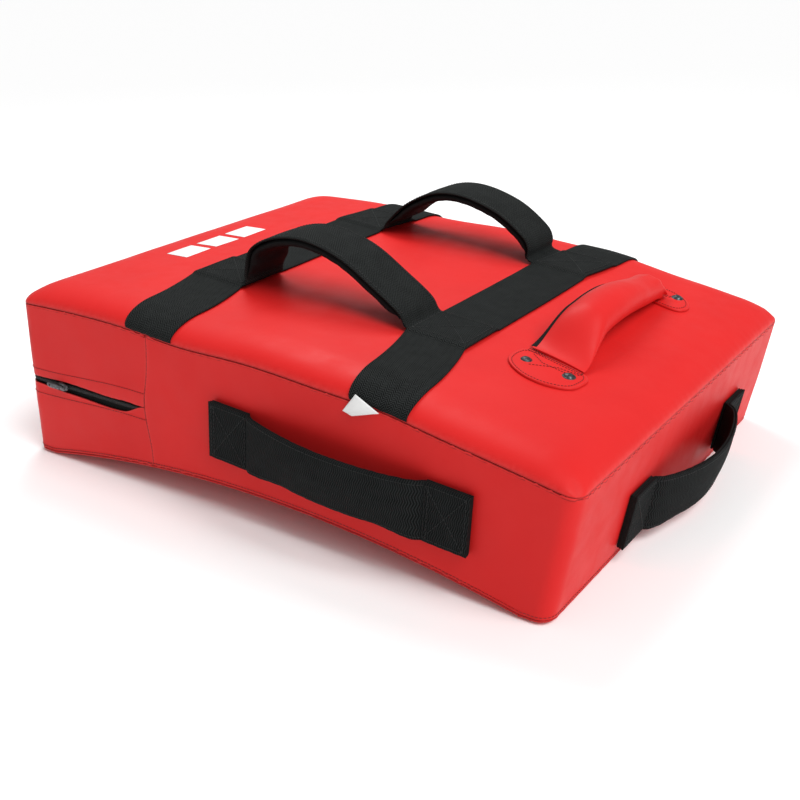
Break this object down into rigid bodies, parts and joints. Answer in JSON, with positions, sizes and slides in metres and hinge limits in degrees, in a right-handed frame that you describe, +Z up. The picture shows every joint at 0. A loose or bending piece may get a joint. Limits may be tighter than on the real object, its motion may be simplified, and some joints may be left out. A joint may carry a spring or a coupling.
{
  "type": "curved kick shield",
  "caption": "Curved padded kick shield in red synthetic leather, with webbing cross straps, padded body loops, a padded grab handle, webbing handles and a zipped side wall.",
  "frame": {"origin": "middle of the whole object's plan, on the surface that the striking face's two ends rest on", "axes": "+X along the length towards the end with the webbing handle, -Y towards the long side with the zip slider and care label, +Z up through the holder's side"},
  "size_m": [0.583, 0.4808, 0.2191],
  "materials": {
    "red_leather": "satin synthetic leather",
    "webbing": "woven webbing",
    "lining_fabric": "plain woven lining",
    "soft_foam": "open-cell foam",
    "dense_foam": "closed-cell foam",
    "zip_tape": "woven tape",
    "zip_coil": "nylon coil",
    "zip_metal": "grey die-cast",
    "rivet_metal": "gunmetal",
    "label_cloth": "satin label cloth",
    "mark_print": "printed white blocks"
  },
  "bodies": {
    "pad": {"rear_panel": "red_leather", "strike_panel": "red_leather", "main_gusset": "red_leather", "zip_gusset_upper": "red_leather", "zip_gusset_lower": "red_leather", "grab_tab_near": "red_leather", "grab_tab_far": "red_leather", "cross_strap_left": "webbing", "cross_strap_right": "webbing", "side_handle_near_patch_a": "webbing", "side_handle_near_patch_b": "webbing", "side_handle_far_patch_a": "webbing", "side_handle_far_patch_b": "webbing", "end_handle_patch_a": "webbing", "end_handle_patch_b": "webbing", "rear_foam": "soft_foam", "core_foam": "soft_foam", "strike_foam": "dense_foam", "zip_tape_upper": "zip_tape", "zip_tape_lower": "zip_tape", "zip_coil": "zip_coil", "rivet_near_left": "rivet_metal", "rivet_near_right": "rivet_metal", "rivet_far_left": "rivet_metal", "rivet_far_right": "rivet_metal", "washer_near_left": "rivet_metal", "washer_near_right": "rivet_metal", "washer_far_left": "rivet_metal", "washer_far_right": "rivet_metal", "care_label": "label_cloth", "mark_bar_near": "mark_print", "mark_square": "mark_print", "mark_bar_far": "mark_print"},
    "near_loop": {"near_loop_webbing": "webbing", "near_loop_foam": "soft_foam", "near_loop_lining": "lining_fabric"},
    "far_loop": {"far_loop_webbing": "webbing", "far_loop_foam": "soft_foam", "far_loop_lining": "lining_fabric"},
    "side_handle_near": {"side_handle_near_webbing": "webbing", "side_handle_near_lining": "lining_fabric"},
    "side_handle_far": {"side_handle_far_webbing": "webbing", "side_handle_far_lining": "lining_fabric"},
    "end_handle": {"end_handle_webbing": "webbing", "end_handle_lining": "lining_fabric"},
    "grab_handle": {"grab_cover": "red_leather", "grab_core": "soft_foam"},
    "zip_slider": {"zip_slider": "zip_metal"},
    "zip_pull": {"zip_pull": "zip_metal"}
  },
  "joints": [
    {"name": "near_loop_lean", "type": "hinge", "parent": "pad", "child": "near_loop", "pos_m": [-0.11247, -0.086, 0.16834], "axis": [0.998, 0, -0.0629], "range_deg": [-30, 30], "stiffness_Nm_per_rad": 0.3},
    {"name": "far_loop_lean", "type": "hinge", "parent": "pad", "child": "far_loop", "pos_m": [-0.11347, 0.134, 0.16836], "axis": [0.9981, 0, -0.0624], "range_deg": [-30, 30], "stiffness_Nm_per_rad": 0.3},
    {"name": "side_handle_near_lift", "type": "hinge", "parent": "pad", "child": "side_handle_near", "pos_m": [-0.01847, -0.22, 0.08], "axis": [0.9979, 0, -0.0653], "range_deg": [-30, 30], "stiffness_Nm_per_rad": 0.3},
    {"name": "side_handle_far_lift", "type": "hinge", "parent": "pad", "child": "side_handle_far", "pos_m": [-0.01847, 0.22, 0.08], "axis": [0.9979, 0, -0.0653], "range_deg": [-30, 30], "stiffness_Nm_per_rad": 0.3},
    {"name": "end_handle_lift", "type": "hinge", "parent": "pad", "child": "end_handle", "pos_m": [0.2591, -0.07, 0.039], "axis": [0, 1, 0], "range_deg": [-30, 30], "stiffness_Nm_per_rad": 0.3},
    {"name": "grab_handle_lean", "type": "hinge", "parent": "pad", "child": "grab_handle", "pos_m": [0.17853, -0.07, 0.14223], "axis": [0, 1, 0], "range_deg": [-25, 25], "stiffness_Nm_per_rad": 0.3},
    {"name": "zip_slide", "type": "slide", "parent": "pad", "child": "zip_slider", "axis": [1, 0, 0], "range_m": [-0.025, 0.095]},
    {"name": "zip_pull_lift", "type": "hinge", "parent": "zip_slider", "child": "zip_pull", "pos_m": [-0.24047, -0.2244, 0.076], "axis": [0, 0, 1], "range_deg": [0, 100]}
  ]
}
